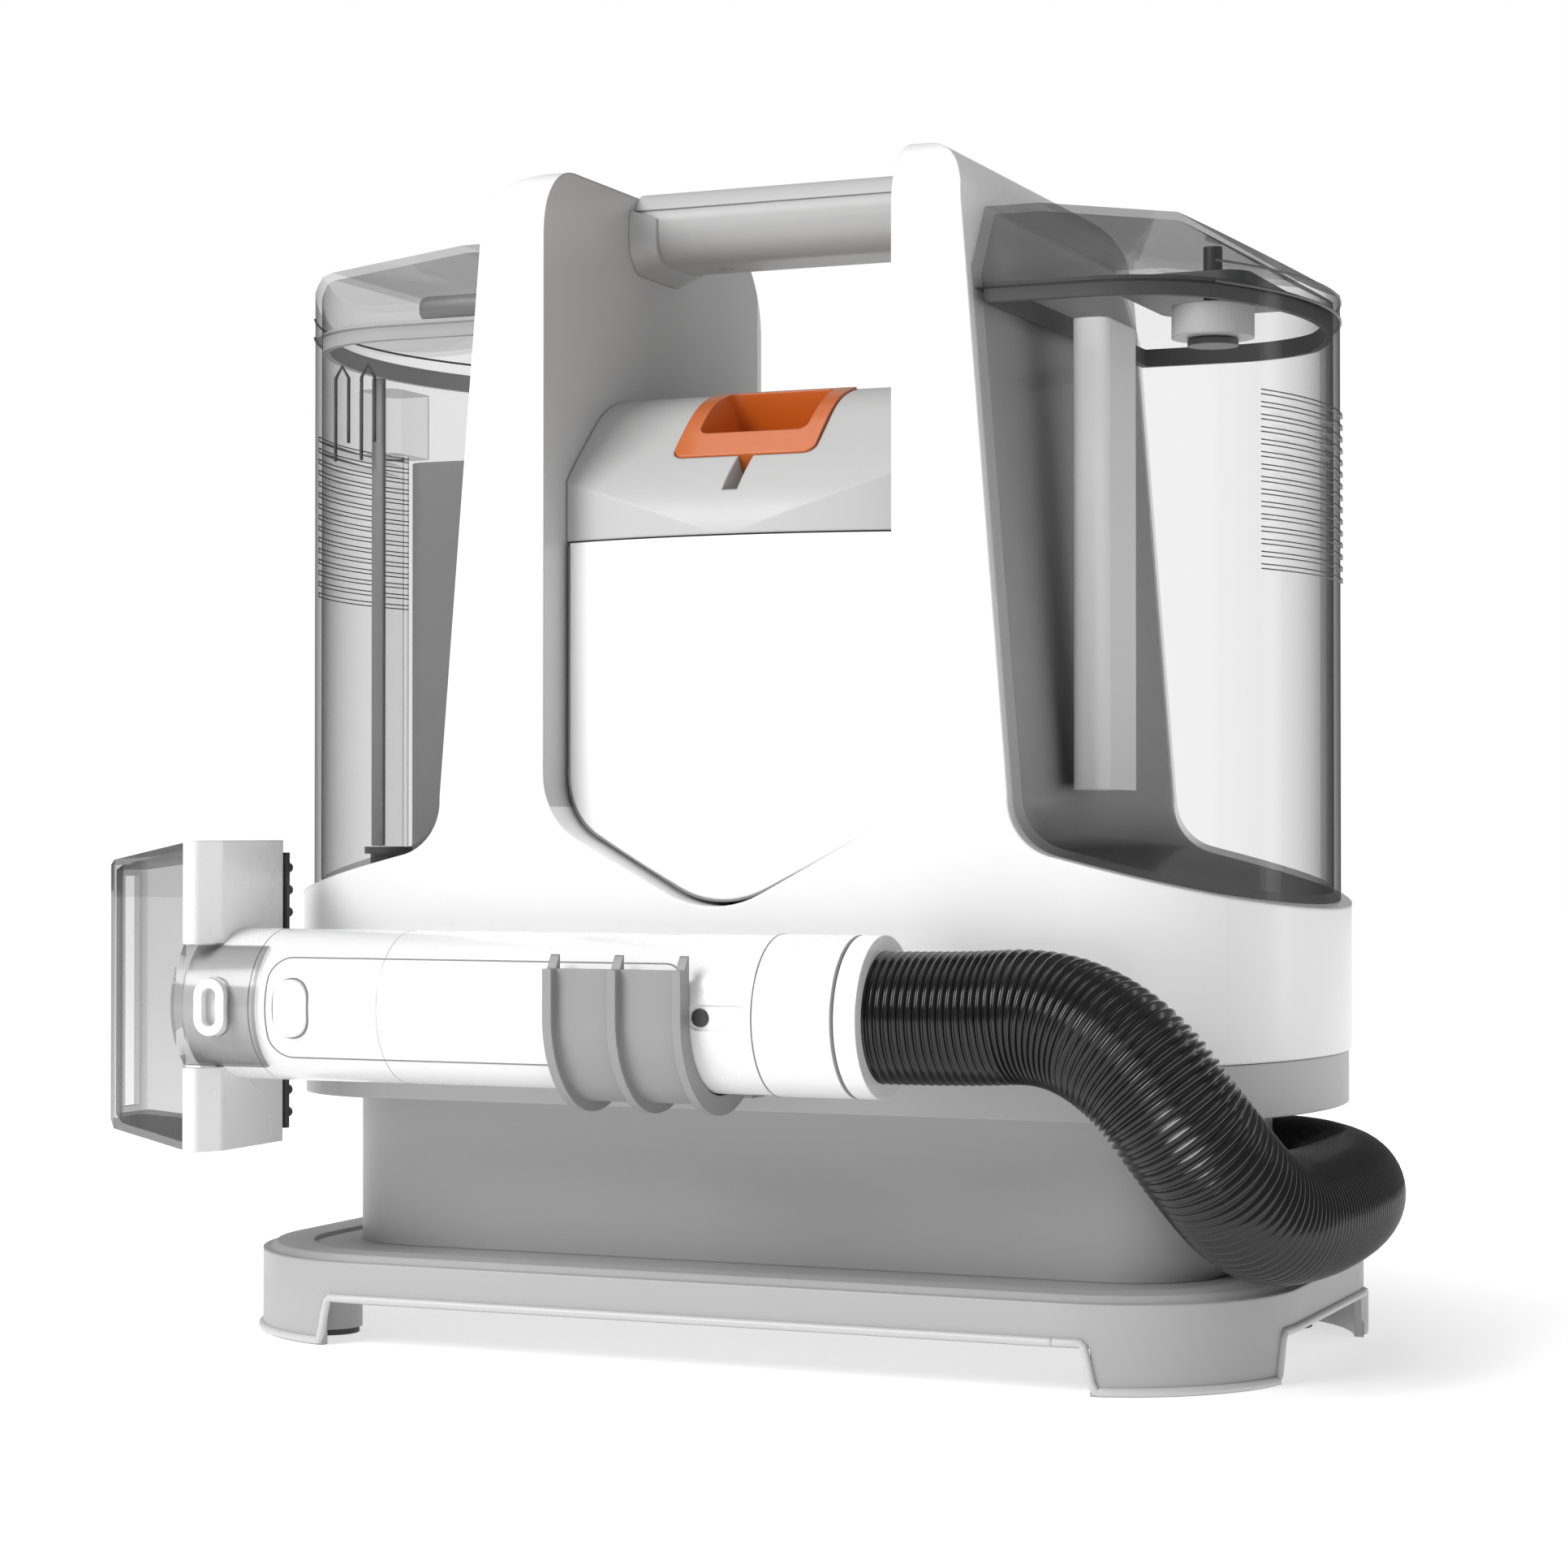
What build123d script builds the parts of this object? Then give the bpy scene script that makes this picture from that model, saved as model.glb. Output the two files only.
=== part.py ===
from build123d import *
import math
import os

# A portable spot cleaner, in millimetres. The working frame has X = 0 on the machine's plane of symmetry,
# Y = 0 at the middle of the plinth with the front towards -Y, and Z = 0 on the floor. Every piece is
# written about an origin on the floor under the middle of the whole object, with the wand docked.

# ---------------------------------------------------------------- driving dimensions
gap = 0.4                       # clearance between a piece that lifts off and its seat
wall = 2.5                      # moulded wall

body_half = 177.0               # half width, at the middle of the bowed ends
body_front = -77.0
body_back = 98.0
body_mid = (body_front + body_back) / 2
flat_half = 120.0               # the front and back are flat to here
crease_x, crease_y = 159.5, -57.0

plinth_half_x, plinth_half_y, plinth_radius = 176.0, 97.0, 58.0
plinth_top, plinth_lip = 29.0, 27.0
arch_height = 14.0
tub_half_x, tub_half_y, tub_radius = 150.0, 56.0, 30.0
skirt_bottom, skirt_top = 78.0, 95.0

pillar_in = 59.5                # inner face of each pillar
pillar_out_low, pillar_low_z = 97.0, 176.0
pillar_out_high, pillar_high_z = 82.0, 360.0
pillar_top = 379.0
ledge_in_x, ledge_in_z = 112.0, 157.0
ledge_out_x, ledge_out_z = 172.0, 142.0
ledge_radius = 18.0

shield_corner_z, shield_tip_z = 169.0, 137.0
shield_top = 258.0
shield_gap = 1.6
shield_round, tip_round = 23.6, 33.6      # of the recess around the shield
shield_front, shield_bulge_radius = -70.0, 207.0
cap_top = 310.0
valve_x, valve_y = -146.0, -20.0

tank_inset = 3.5                # how far the tanks stand inside the body's plan
tank_wall = 2.2
tank_rim = 330.0
lid_edge, lid_peak = 337.0, 358.0
rib_count, rib_pitch, rib_height, rib_low = 15, 3.8, 1.4, 245.0
rib_front, rib_back = -38.0, 36.0

handle_y, handle_z = 9.5, 368.5
handle_depth, handle_height = 41.0, 25.0

wand_y, wand_z, wand_radius = -109.0, 110.0, 24.0
wand_neck_x, wand_seam_x, wand_end_x = -134.0, 37.0, 70.0
head_z, head_half, head_right, head_left = 113.0, 49.0, -150.0, -197.0
head_back, head_front = -84.0, -133.0
mouth_half, tongue_end = 41.0, -131.5
cradle_left, cradle_right = -28.0, 17.5
cradle_inner, cradle_outer, cradle_rib = 24.6, 27.4, 30.6

hose_diameter = 39.5
elbow_x, elbow_z, elbow_y = 60.0, 168.0, 124.0
elbow_radius = 23.5

# the middle of the whole object, seen from above
origin_x = (head_left + body_half) / 2
origin_y = (wand_y - cradle_rib + elbow_y + elbow_radius) / 2

os.makedirs("parts", exist_ok=True)


def save(piece, name):
    """Labels a finished piece and writes it about the whole object's origin."""
    piece.part.label = name
    shifted = piece.part.moved(Location((-origin_x, -origin_y, 0)))
    shifted.label = name
    export_step(shifted, f"parts/{name}.step")


# ---------------------------------------------------------------- shared outlines
def body_plan(inset):
    """The plan outline: flat front and back, rounded corners with a crease, bowed ends."""
    mirror_y = 2 * body_mid
    with BuildSketch() as plan:
        with BuildLine():
            Line((0, body_front), (flat_half, body_front))
            TangentArc((flat_half, body_front), (crease_x, crease_y), tangent=(1, 0))
            ThreePointArc((crease_x, crease_y), (body_half, body_mid), (crease_x, mirror_y - crease_y))
            TangentArc((flat_half, body_back), (crease_x, mirror_y - crease_y), tangent=(1, 0))
            Line((flat_half, body_back), (0, body_back))
            mirror(about=Plane.YZ)
        make_face()
        if inset:
            offset(amount=-inset)
    return plan.sketch


def arch_front(top, notch):
    """The body from the front: a low block with two pillars, and the recess between them if notched."""
    middle = [(pillar_in, shield_corner_z), (0, shield_tip_z)] if notch else [(pillar_in, top), (0, top)]
    with BuildSketch(Plane.XZ) as front:
        with BuildLine():
            Polyline(
                (0, skirt_top), (200, skirt_top), (200, ledge_out_z - 7), (ledge_out_x, ledge_out_z),
                (ledge_in_x, ledge_in_z),
            )
            RadiusArc((ledge_in_x, ledge_in_z), (pillar_out_low, pillar_low_z), ledge_radius)
            Line((pillar_out_low, pillar_low_z), (pillar_out_high, pillar_high_z))
            RadiusArc((pillar_out_high, pillar_high_z), (pillar_out_high - 15, pillar_top - 1), -18)
            Polyline((pillar_out_high - 15, pillar_top - 1), (pillar_in, pillar_top), *middle)
            mirror(about=Plane.YZ)
        make_face()
        if notch:
            middle_corners = front.vertices().filter_by_position(Axis.X, -80, 80)
            fillet(middle_corners.filter_by_position(Axis.Y, shield_tip_z - 1, shield_tip_z + 1), tip_round)
            middle_corners = front.vertices().filter_by_position(Axis.X, -80, 80)
            fillet(middle_corners.filter_by_position(Axis.Y, shield_corner_z - 1, shield_corner_z + 1), shield_round)
    return front.sketch_local


def pillar_side():
    """The pillars from the side, with their rounded top corners."""
    with BuildSketch(Plane.YZ) as side:
        with BuildLine():
            FilletPolyline(
                (body_front, 0), (body_front, pillar_top), (body_back, pillar_top), (body_back, 0),
                radius=[22, 34],
            )
            Line((body_back, 0), (body_front, 0))
        make_face()
    return side.sketch_local


def shield_face(margin, high):
    """The shield seen from the front, from its straight top edge down to its rounded tip."""
    slope = math.atan2(shield_corner_z - shield_tip_z, pillar_in)
    side = pillar_in - margin
    tip = shield_tip_z + margin / math.cos(slope)
    corner = tip + side * math.tan(slope)
    with BuildSketch(Plane.XZ) as face:
        with BuildLine():
            FilletPolyline(
                (side, high), (side, corner), (0, tip), (-side, corner), (-side, high),
                radius=(shield_round - margin, tip_round - margin, shield_round - margin),
            )
            Line((-side, high), (side, high))
        make_face()
    return face.sketch_local


full_plan = body_plan(0)
cavity_plan = body_plan(wall)
tank_plan = body_plan(tank_inset)
tank_cavity_plan = body_plan(tank_inset + tank_wall)
rib_plan = body_plan(tank_inset - 1.0)
rib_root_plan = body_plan(tank_inset + 0.5)
skirt_plan = body_plan(1.0)
floor_plan = body_plan(wall + 5)
skirt_cavity_plan = body_plan(wall + 0.6)
notched_front = arch_front(cap_top, True)
closed_front = arch_front(cap_top - 3, False)
side_outline = pillar_side()
panel_face = shield_face(shield_gap, shield_top)
deep = 200.0                    # longer than the body is deep, for cuts that go right through


# ---------------------------------------------------------------- plinth, feet and hose channel
with BuildPart() as plinth:
    with BuildSketch():
        RectangleRounded(2 * plinth_half_x, 2 * plinth_half_y, plinth_radius)
    extrude(amount=plinth_lip)
    with BuildSketch(Plane.XY.offset(plinth_lip)):
        RectangleRounded(2 * plinth_half_x - 5, 2 * plinth_half_y - 5, plinth_radius - 2.5)
    extrude(amount=plinth_top - plinth_lip, taper=45)
    with BuildSketch(Plane.XY.offset(plinth_top - 1.2)):
        RectangleRounded(2 * plinth_half_x - 34, 2 * plinth_half_y - 34, plinth_radius - 17)
    extrude(amount=1.2, mode=Mode.SUBTRACT)
    with BuildSketch():
        RectangleRounded(2 * plinth_half_x - 6, 2 * plinth_half_y - 6, plinth_radius - 3)
    extrude(amount=plinth_lip - 5, mode=Mode.SUBTRACT)
    for across, along in ((2 * 129.0, 3 * plinth_half_y), (3 * plinth_half_x, 2 * 52.0)):
        with BuildSketch():
            Rectangle(across, along)
        extrude(amount=arch_height, mode=Mode.SUBTRACT)
    with BuildSketch(Plane.XY.offset(2)):
        with Locations(*[(sx * 143, sy * 68) for sx in (-1, 1) for sy in (-1, 1)]):
            Circle(11)
    extrude(amount=plinth_lip - 4)
save(plinth, "plinth")

with BuildPart() as rubber_feet:
    with BuildSketch():
        with Locations(*[(sx * 143, sy * 68) for sx in (-1, 1) for sy in (-1, 1)]):
            Circle(10)
    extrude(amount=2)
save(rubber_feet, "rubber_feet")

with BuildPart() as hose_channel:
    with BuildSketch(Plane.XY.offset(plinth_top - 1.2)):
        RectangleRounded(2 * tub_half_x, 2 * tub_half_y, tub_radius)
    extrude(amount=skirt_bottom - plinth_top + 1.2)
    with BuildSketch(Plane.XY.offset(plinth_top + 2)):
        RectangleRounded(2 * tub_half_x - 6, 2 * tub_half_y - 6, tub_radius - 3)
    extrude(amount=skirt_bottom - plinth_top, mode=Mode.SUBTRACT)
save(hose_channel, "hose_channel")


# ---------------------------------------------------------------- lower skirt and white housing
with BuildPart() as lower_skirt:
    with BuildSketch(Plane.XY.offset(skirt_bottom)):
        add(skirt_plan)
    extrude(amount=skirt_top - skirt_bottom - 0.3)
    with BuildSketch(Plane.XY.offset(skirt_bottom + wall)):
        add(skirt_cavity_plan)
    extrude(amount=skirt_top, mode=Mode.SUBTRACT)
save(lower_skirt, "lower_skirt")

cover_y = body_back - 4.0       # the joint between the housing and its rear cover

with BuildPart() as body_solid:
    with BuildSketch(Plane.XY.offset(skirt_top)):
        add(full_plan)
    extrude(amount=pillar_top - skirt_top + 1)
    with BuildSketch(Plane.XZ):
        add(notched_front)
    extrude(amount=deep, both=True, mode=Mode.INTERSECT)
    with BuildSketch(Plane.YZ):
        add(side_outline)
    extrude(amount=deep, both=True, mode=Mode.INTERSECT)

with BuildPart() as body_cavity:
    with BuildSketch(Plane.XY.offset(skirt_top - 1)):
        add(cavity_plan)
    extrude(amount=pillar_top)
    with BuildSketch(Plane.XZ):
        add(notched_front)
        offset(amount=-wall)
    extrude(amount=deep, both=True, mode=Mode.INTERSECT)
    with BuildSketch(Plane.YZ):
        add(side_outline)
        offset(amount=-wall)
    extrude(amount=deep, both=True, mode=Mode.INTERSECT)

with BuildPart() as housing:
    add(body_solid.part)
    add(body_cavity.part, mode=Mode.SUBTRACT)
    # the open bottom, and the service space behind the recess
    with BuildSketch(Plane.XY.offset(skirt_top - 1)):
        add(floor_plan)
    extrude(amount=wall + 2, mode=Mode.SUBTRACT)
    with BuildSketch(Plane.XY.offset(skirt_top + wall)):
        with Locations((0, (cover_y - 52) / 2)):
            Rectangle(2 * pillar_in, cover_y + 52)
    extrude(amount=shield_corner_z - skirt_top, mode=Mode.SUBTRACT)
    with BuildSketch(Plane.XY):
        with Locations((0, cover_y + 50)):
            Rectangle(500, 100)
    extrude(amount=400, mode=Mode.SUBTRACT)
    # the clean tank's valve passes through the ledge
    with BuildSketch(Plane.XY.offset(ledge_out_z)):
        with Locations((valve_x, valve_y)):
            Circle(9.6)
    extrude(amount=20, mode=Mode.SUBTRACT)
save(housing, "housing")

with BuildPart() as rear_cover:
    with BuildSketch(Plane.XY.offset(skirt_top)):
        add(full_plan)
    extrude(amount=pillar_top - skirt_top + 1)
    with BuildSketch(Plane.XZ):
        add(closed_front)
    extrude(amount=deep, both=True, mode=Mode.INTERSECT)
    with BuildSketch(Plane.YZ):
        add(side_outline)
    extrude(amount=deep, both=True, mode=Mode.INTERSECT)
    with BuildSketch(Plane.XY):
        with Locations((0, cover_y + 0.15 - 100)):
            Rectangle(500, 200)
    extrude(amount=400, mode=Mode.SUBTRACT)
    # cooling slots, the cord gland hole and the bore for the hose elbow
    with BuildSketch(Plane.XZ.offset(-body_back)):
        with GridLocations(0, 6.5, 1, 9):
            with Locations((-28, 262)):
                SlotOverall(44, 3)
        with Locations((-110, 112)):
            Circle(5.1)
        with Locations((elbow_x, elbow_z)):
            Circle(15.1)
    extrude(amount=10, both=True, mode=Mode.SUBTRACT)
save(rear_cover, "rear_cover")

with BuildPart() as cover_screws:
    for x, z in ((-70, 350), (70, 350), (-70, 222), (70, 222), (-85, 112), (85, 112)):
        with BuildSketch(Plane.XZ.offset(-body_back)):
            with Locations((x, z)):
                Circle(3.4)
        extrude(amount=-1.2)
        with BuildSketch(Plane.XZ.offset(-body_back - 1.3)):
            with Locations((x, z)):
                RegularPolygon(1.6, 6)
        extrude(amount=0.9, mode=Mode.SUBTRACT)
save(cover_screws, "cover_screws")


# ---------------------------------------------------------------- shield panel and top cap
with BuildPart() as front_panel:
    with BuildSketch(Plane.XZ.offset(40)):
        add(panel_face)
    extrude(amount=40)
    with BuildSketch(Plane.XY.offset(100)):
        with Locations((0, shield_front + shield_bulge_radius)):
            Circle(shield_bulge_radius)
    extrude(amount=300, mode=Mode.INTERSECT)
    fillet(front_panel.edges().filter_by_position(Axis.Y, -75, -55).group_by(Axis.Z)[0], 0.8)
save(front_panel, "front_panel")

with BuildPart() as cap_block:
    with BuildSketch(Plane.YZ):
        with BuildLine():
            Spline(
                (shield_front + 0.4, shield_top + 0.6), (-66, 271), (-46, 293), (-10, cap_top),
                tangents=[(0.05, 1), (1, 0.12)],
            )
            Polyline(
                (-10, cap_top), (cover_y, cap_top), (cover_y, cap_top - 30), (30, cap_top - 30),
                (-34, shield_top + 0.6), (shield_front + 0.4, shield_top + 0.6),
            )
        make_face()
    extrude(amount=pillar_in - 0.3, both=True)
    with BuildSketch(Plane.XY.offset(100)):
        with Locations((0, shield_front + 0.4 + shield_bulge_radius)):
            Circle(shield_bulge_radius)
    extrude(amount=300, mode=Mode.INTERSECT)

button_plane = Plane(origin=(0, -33.5, 295.5), x_dir=(1, 0, 0), z_dir=(0, -0.55, 0.835))
button_half, button_reach, button_deep = 24.5, 23.5, 14.0

with BuildPart() as top_cap:
    add(cap_block.part)
    with BuildSketch(button_plane.offset(12)):
        RectangleRounded(2 * button_half + 0.8, 2 * button_reach + 0.8, 4)
    extrude(amount=-12 - button_deep - 3.2, mode=Mode.SUBTRACT)
    with BuildSketch(button_plane):
        Rectangle(21, 15)
    extrude(amount=-50, mode=Mode.SUBTRACT)
    with BuildSketch(button_plane.offset(8)):
        with Locations((0, -button_reach - 7)):
            Polygon((-2.6, -8), (2.6, -8), (4.2, 8), (-1.0, 8), align=None)
    extrude(amount=-14, mode=Mode.SUBTRACT)
save(top_cap, "top_cap")

with BuildPart() as power_button:
    with BuildSketch(button_plane.offset(-button_deep)):
        RectangleRounded(2 * button_half, 2 * button_reach, 3.6)
    extrude(amount=button_deep + 12)
    # its outside follows the cap, a little proud
    with BuildSketch(Plane.YZ):
        with BuildLine():
            Spline((-72, 259), (-66.6, 271.4), (-46.6, 293.8), (-10, cap_top + 0.8), tangents=[(0.1, 1), (1, 0.12)])
            Polyline((-10, cap_top + 0.8), (20, cap_top + 0.8), (20, 240), (-72, 240), (-72, 259))
        make_face()
    extrude(amount=60, both=True, mode=Mode.INTERSECT)
    # the finger scoop
    with BuildSketch(button_plane.offset(14)):
        with Locations((0, 3)):
            RectangleRounded(2 * button_half - 8, 2 * button_reach - 12, 5)
    extrude(amount=-23, taper=12, mode=Mode.SUBTRACT)
save(power_button, "power_button")

with BuildPart() as button_spring:
    with BuildSketch(button_plane.offset(-button_deep - 3.2)):
        Circle(5)
        Circle(3.8, mode=Mode.SUBTRACT)
    extrude(amount=-7)
save(button_spring, "button_spring")

with BuildPart() as power_switch:
    with BuildSketch(button_plane.offset(-button_deep - 10.4)):
        Rectangle(20, 14)
    extrude(amount=-14)
save(power_switch, "power_switch")


# ---------------------------------------------------------------- carrying handle
with BuildPart() as handle_upper:
    with BuildSketch(Plane.YZ.offset(-pillar_in)) as section:
        with Locations((handle_y, handle_z)):
            RectangleRounded(handle_depth, handle_height, 11.5)
        with Locations((handle_y, handle_z + 5.5 - 50)):
            Rectangle(100, 100, mode=Mode.SUBTRACT)
    extrude(amount=2 * pillar_in)
save(handle_upper, "handle_upper")

with BuildPart() as handle_lower:
    with BuildSketch(Plane.YZ.offset(-pillar_in)):
        with Locations((handle_y, handle_z)):
            RectangleRounded(handle_depth - 1, handle_height, 11.5)
        with Locations((handle_y, handle_z + 5.5 + 50)):
            Rectangle(100, 100, mode=Mode.SUBTRACT)
    extrude(amount=2 * pillar_in)
    for side in (-1, 1):
        # the flange where the grip meets each pillar
        with BuildSketch(Plane.YZ.offset(side * pillar_in)):
            with Locations((handle_y, handle_z - 2)):
                RectangleRounded(handle_depth + 7, handle_height + 3, 11)
            with Locations((handle_y, handle_z + 5.5 + 50)):
                Rectangle(100, 100, mode=Mode.SUBTRACT)
        extrude(amount=-side * 9, taper=20)
    with BuildSketch(Plane.XY.offset(handle_z - handle_height)):
        with Locations((-34, handle_y), (34, handle_y)):
            Circle(2.6)
    extrude(amount=handle_height / 2 + 4, mode=Mode.SUBTRACT)
save(handle_lower, "handle_lower")

with BuildPart() as handle_screws:
    with BuildSketch(Plane.XY.offset(handle_z - handle_height / 2 + 1.5)):
        with Locations((-34, handle_y), (34, handle_y)):
            Circle(2.5)
    extrude(amount=2)
save(handle_screws, "handle_screws")


# ---------------------------------------------------------------- tanks and lids
def tank_front(offset_in, top):
    """A tank from the front, on the +X side: the pillar's slope, the round corner and the ledge."""
    shift = gap + offset_in
    with BuildSketch(Plane.XZ) as face:
        with BuildLine():
            slope = (pillar_out_low - pillar_out_high) / (pillar_high_z - pillar_low_z)
            top_x = pillar_out_high + slope * (pillar_high_z - top) + shift
            Polyline(
                (pillar_out_low + shift, pillar_low_z + shift * 0.08), (top_x, top), (200, top),
                (200, ledge_out_z - 7 + shift * 1.03), (ledge_in_x + shift * 0.24, ledge_in_z + shift * 1.03),
            )
            RadiusArc(
                (ledge_in_x + shift * 0.24, ledge_in_z + shift * 1.03),
                (pillar_out_low + shift, pillar_low_z + shift * 0.08), ledge_radius + 1.2 - shift * 0.8,
            )
        make_face()
    return face.sketch_local


tank_outer_face, tank_inner_face = tank_front(0, tank_rim), tank_front(tank_wall, tank_rim + 20)
lid_outer_face, lid_inner_face = tank_front(0, lid_peak + 4), tank_front(tank_wall, lid_peak + 4)


def tank_block(plan, face, low, high):
    """The part of a plan, between two heights, that also lies inside an outline seen from the front."""
    with BuildPart() as block:
        with BuildSketch(Plane.XY.offset(low)):
            add(plan)
        extrude(amount=high - low)
        with BuildSketch(Plane.XZ):
            add(face)
        extrude(amount=deep, both=True, mode=Mode.INTERSECT)
    return block.part


def lid_dome(plan, face, base, drop):
    """A lid's faceted dome: it rises from its outer edge to the pillar, and slopes at front and back."""
    low, high, rise = body_front + tank_inset + drop, body_back - tank_inset - drop, 17
    block = tank_block(plan, face, base, lid_peak + 4)
    with BuildPart() as dome:
        add(block)
        with BuildSketch(Plane.XZ):
            with BuildLine():
                Polyline(
                    (60, base), (60, lid_peak - drop), (100, lid_peak - drop), (146, lid_peak - 7 - drop),
                    (body_half - tank_inset - drop, lid_edge - drop), (200, lid_edge - 4 - drop),
                    (200, base), (60, base),
                )
            make_face()
        extrude(amount=deep, both=True, mode=Mode.INTERSECT)
        with BuildSketch(Plane.YZ):
            with BuildLine():
                Polyline(
                    (low - 5, base), (low - 5, lid_edge - 3 - drop), (low, lid_edge - drop),
                    (low + rise, lid_peak - drop), (high - rise, lid_peak - drop),
                    (high, lid_edge - drop), (high + 5, lid_edge - 3 - drop), (high + 5, base),
                    (low - 5, base),
                )
            make_face()
        extrude(amount=deep, both=True, mode=Mode.INTERSECT)
    return dome.part


tank_outside = tank_block(tank_plan, tank_outer_face, 100, tank_rim)
tank_inside = tank_block(tank_cavity_plan, tank_inner_face, 100, tank_rim + 10)
lid_outside = lid_dome(tank_plan, lid_outer_face, tank_rim + gap, 0)
lid_inside = lid_dome(tank_cavity_plan, lid_inner_face, tank_rim, tank_wall)

with BuildPart() as recovery_tank:
    add(tank_outside)
    add(tank_inside, mode=Mode.SUBTRACT)
    for step in range(rib_count):
        with BuildSketch(Plane.XY.offset(rib_low + step * rib_pitch)):
            add(rib_plan)
            add(rib_root_plan, mode=Mode.SUBTRACT)
            with Locations((165, (rib_front + rib_back) / 2)):
                Rectangle(60, rib_back - rib_front, mode=Mode.INTERSECT)
        extrude(amount=rib_height)
save(recovery_tank, "recovery_tank")

with BuildPart() as clean_tank:
    add(recovery_tank.part.mirror(Plane.YZ))
    # the valve's hole in the bottom
    with BuildSketch(Plane.XY.offset(130)):
        with Locations((valve_x, valve_y)):
            Circle(8.1)
    extrude(amount=40, mode=Mode.SUBTRACT)
save(clean_tank, "clean_tank")

with BuildPart() as recovery_lid:
    add(lid_outside)
    add(lid_inside, mode=Mode.SUBTRACT)
save(recovery_lid, "recovery_lid")

with BuildPart() as clean_lid:
    add(recovery_lid.part.mirror(Plane.YZ))
save(clean_lid, "clean_lid")

seal_outside = tank_block(
    body_plan(tank_inset + tank_wall + 0.3), tank_front(tank_wall + 0.3, tank_rim + 20), tank_rim - 4, tank_rim + 2
)
seal_inside = tank_block(
    body_plan(tank_inset + tank_wall + 2.6), tank_front(tank_wall + 2.6, tank_rim + 20), tank_rim - 5, tank_rim + 3
)

with BuildPart() as recovery_seal:
    add(seal_outside)
    add(seal_inside, mode=Mode.SUBTRACT)
save(recovery_seal, "recovery_seal")

with BuildPart() as clean_seal:
    add(recovery_seal.part.mirror(Plane.YZ))
save(clean_seal, "clean_seal")

# the dirty-water riser inside the recovery tank, and the float on its guide under the lid
riser_x, riser_y, riser_low, riser_wall = 107.4, -13.0, 178.0, 2.0
with BuildPart() as recovery_riser:
    with BuildSketch(Plane.XY.offset(riser_low)):
        with Locations((riser_x, riser_y)):
            RectangleRounded(12, 34, 4)
            RectangleRounded(12 - 2 * riser_wall, 34 - 2 * riser_wall, 2, mode=Mode.SUBTRACT)
    extrude(amount=tank_rim - riser_low - 4)
save(recovery_riser, "recovery_riser")

float_x, float_y, float_z = 142.0, -10.0, 325.0
float_radius, float_height, stem_radius, stem_top = 13.0, 10.0, 3.0, 348.6
stem_low = float_z - float_height / 2 - 2.5
with BuildPart() as float_guide:
    with BuildSketch(Plane.XY.offset(stem_low)):
        with Locations((float_x, float_y)):
            Circle(stem_radius)
    extrude(amount=stem_top - stem_low)
    with BuildSketch(Plane.XY.offset(stem_low)):
        with Locations((float_x, float_y)):
            Circle(8)
    extrude(amount=2)
    with BuildSketch(Plane.XY.offset(tank_rim + 4)):
        with Locations((float_x - 6, float_y + 12)):
            RectangleRounded(44, 66, 8)
    extrude(amount=4)
save(float_guide, "float_guide")

with BuildPart() as recovery_float:
    with BuildSketch(Plane.XY.offset(float_z - float_height / 2)):
        with Locations((float_x, float_y)):
            Circle(float_radius)
            Circle(stem_radius + 0.06, mode=Mode.SUBTRACT)
    extrude(amount=float_height)
save(recovery_float, "recovery_float")

# the clean tank's dosing chamber, beside the pillar
chamber_low, chamber_top, chamber_wall = 150.0, 289.0, 2.0
chamber_face = tank_front(tank_wall + 0.1, tank_rim)
with BuildPart() as chamber_side:
    with BuildSketch(Plane.XY.offset(chamber_low)):
        with Locations((104, 8)):
            RectangleRounded(54, 96, 8)
    extrude(amount=chamber_top - chamber_low)
    with BuildSketch(Plane.XY.offset(chamber_low)):
        with Locations((104, 8)):
            RectangleRounded(54 - 2 * chamber_wall, 96 - 2 * chamber_wall, 6)
    extrude(amount=chamber_top - chamber_low - chamber_wall, mode=Mode.SUBTRACT)
    with BuildSketch(Plane.XZ):
        add(chamber_face)
    extrude(amount=deep, both=True, mode=Mode.INTERSECT)

with BuildPart() as dosing_chamber:
    add(chamber_side.part.mirror(Plane.YZ))
save(dosing_chamber, "dosing_chamber")

# the clean tank's bottom valve, its pick-up tube, and the seat that the valve stands over
with BuildPart() as clean_valve:
    with BuildSketch(Plane.XY.offset(143)):
        with Locations((valve_x, valve_y)):
            Circle(8)
    extrude(amount=14.2)
    with BuildSketch(Plane.XY.offset(157.2)):
        with Locations((valve_x, valve_y)):
            Circle(10)
    extrude(amount=2.4)
save(clean_valve, "clean_valve")

with BuildPart() as pickup_tube:
    with BuildSketch(Plane.XY.offset(159.6)):
        with Locations((valve_x, valve_y)):
            Circle(5)
            Circle(3.4, mode=Mode.SUBTRACT)
    extrude(amount=134)
    with BuildSketch(Plane.XY.offset(293.6)):
        with Locations((valve_x, valve_y)):
            RectangleRounded(16, 26, 4)
    extrude(amount=22)
save(pickup_tube, "pickup_tube")

with BuildPart() as valve_seat:
    with BuildSketch(Plane.XY.offset(skirt_bottom + wall)):
        with Locations((valve_x, valve_y)):
            Circle(9)
            Circle(5, mode=Mode.SUBTRACT)
    extrude(amount=141.6 - skirt_bottom - wall)
save(valve_seat, "valve_seat")


# ---------------------------------------------------------------- wand cradle
lip_height = 14.0               # how far the cradle's front lip rises above the wand's axis


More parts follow.
